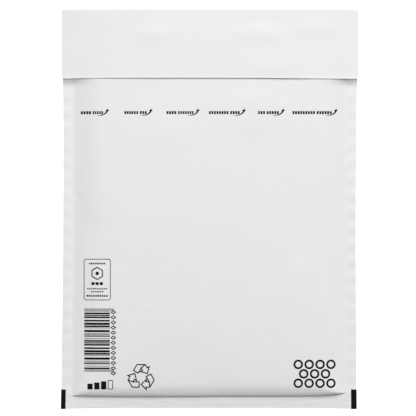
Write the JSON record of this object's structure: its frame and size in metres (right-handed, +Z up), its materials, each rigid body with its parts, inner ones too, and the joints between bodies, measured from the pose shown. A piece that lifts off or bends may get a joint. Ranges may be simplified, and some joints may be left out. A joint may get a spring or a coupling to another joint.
{
  "type": "padded envelope",
  "caption": "Closed padded envelope with pressed side and bottom seams and a flap folded down over its front, for posting flat goods.",
  "frame": {"origin": "on the surface that the envelope lies on, under the middle of its outline", "axes": "+Z up out of the front, the side that the flap is folded onto; +Y along the envelope towards the flap's fold; +X to the right as the front is looked at with the flap at the top"},
  "size_m": [0.2026, 0.2716, 0.0084],
  "materials": {
    "white_paper": "smooth machine-glazed white paper, matt with a faint sheen",
    "black_ink": "matt black printing ink on paper"
  },
  "bodies": {
    "root": {"padded_envelope": "white_paper"}
  },
  "joints": []
}
